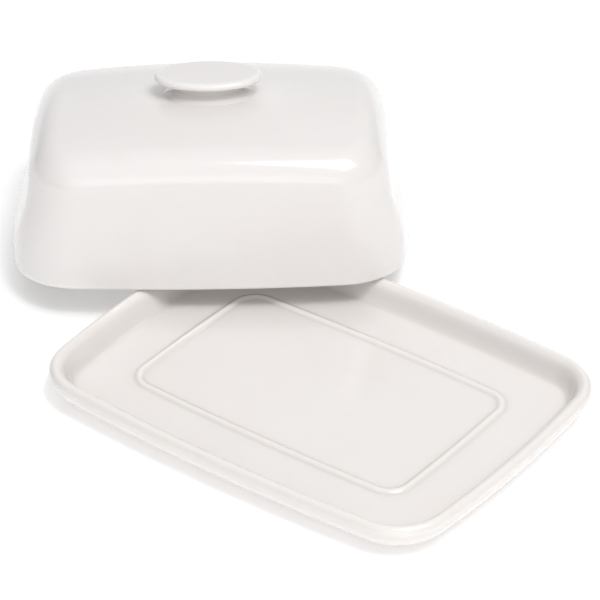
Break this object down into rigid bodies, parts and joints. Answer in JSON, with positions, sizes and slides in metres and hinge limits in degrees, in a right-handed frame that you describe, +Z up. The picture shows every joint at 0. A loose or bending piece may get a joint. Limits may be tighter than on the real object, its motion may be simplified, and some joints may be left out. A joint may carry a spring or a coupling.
{
  "type": "covered butter dish",
  "caption": "Glazed porcelain butter dish: shallow rimmed tray on a foot ring, with a separate loaf-shaped cover that lifts by an oval knob.",
  "frame": {"origin": "centre of the tray's foot ring, on the plane that the dish stands on", "axes": "+X along the tray's long side, +Y across the tray towards the cover that lies off it, +Z up"},
  "size_m": [0.3022, 0.2308, 0.0837],
  "materials": {
    "glazed_porcelain": "clear gloss glaze over white porcelain, bare matt body only on the foot ring and the cover's standing edge"
  },
  "bodies": {
    "tray": {"tray": "glazed_porcelain"},
    "cover": {"cover_shell": "glazed_porcelain", "cover_knob": "glazed_porcelain"}
  },
  "joints": [
    {"name": "cover_lift", "type": "slide", "parent": "tray", "child": "cover", "axis": [0, 0, 1], "range_m": [0, 0.11]}
  ]
}
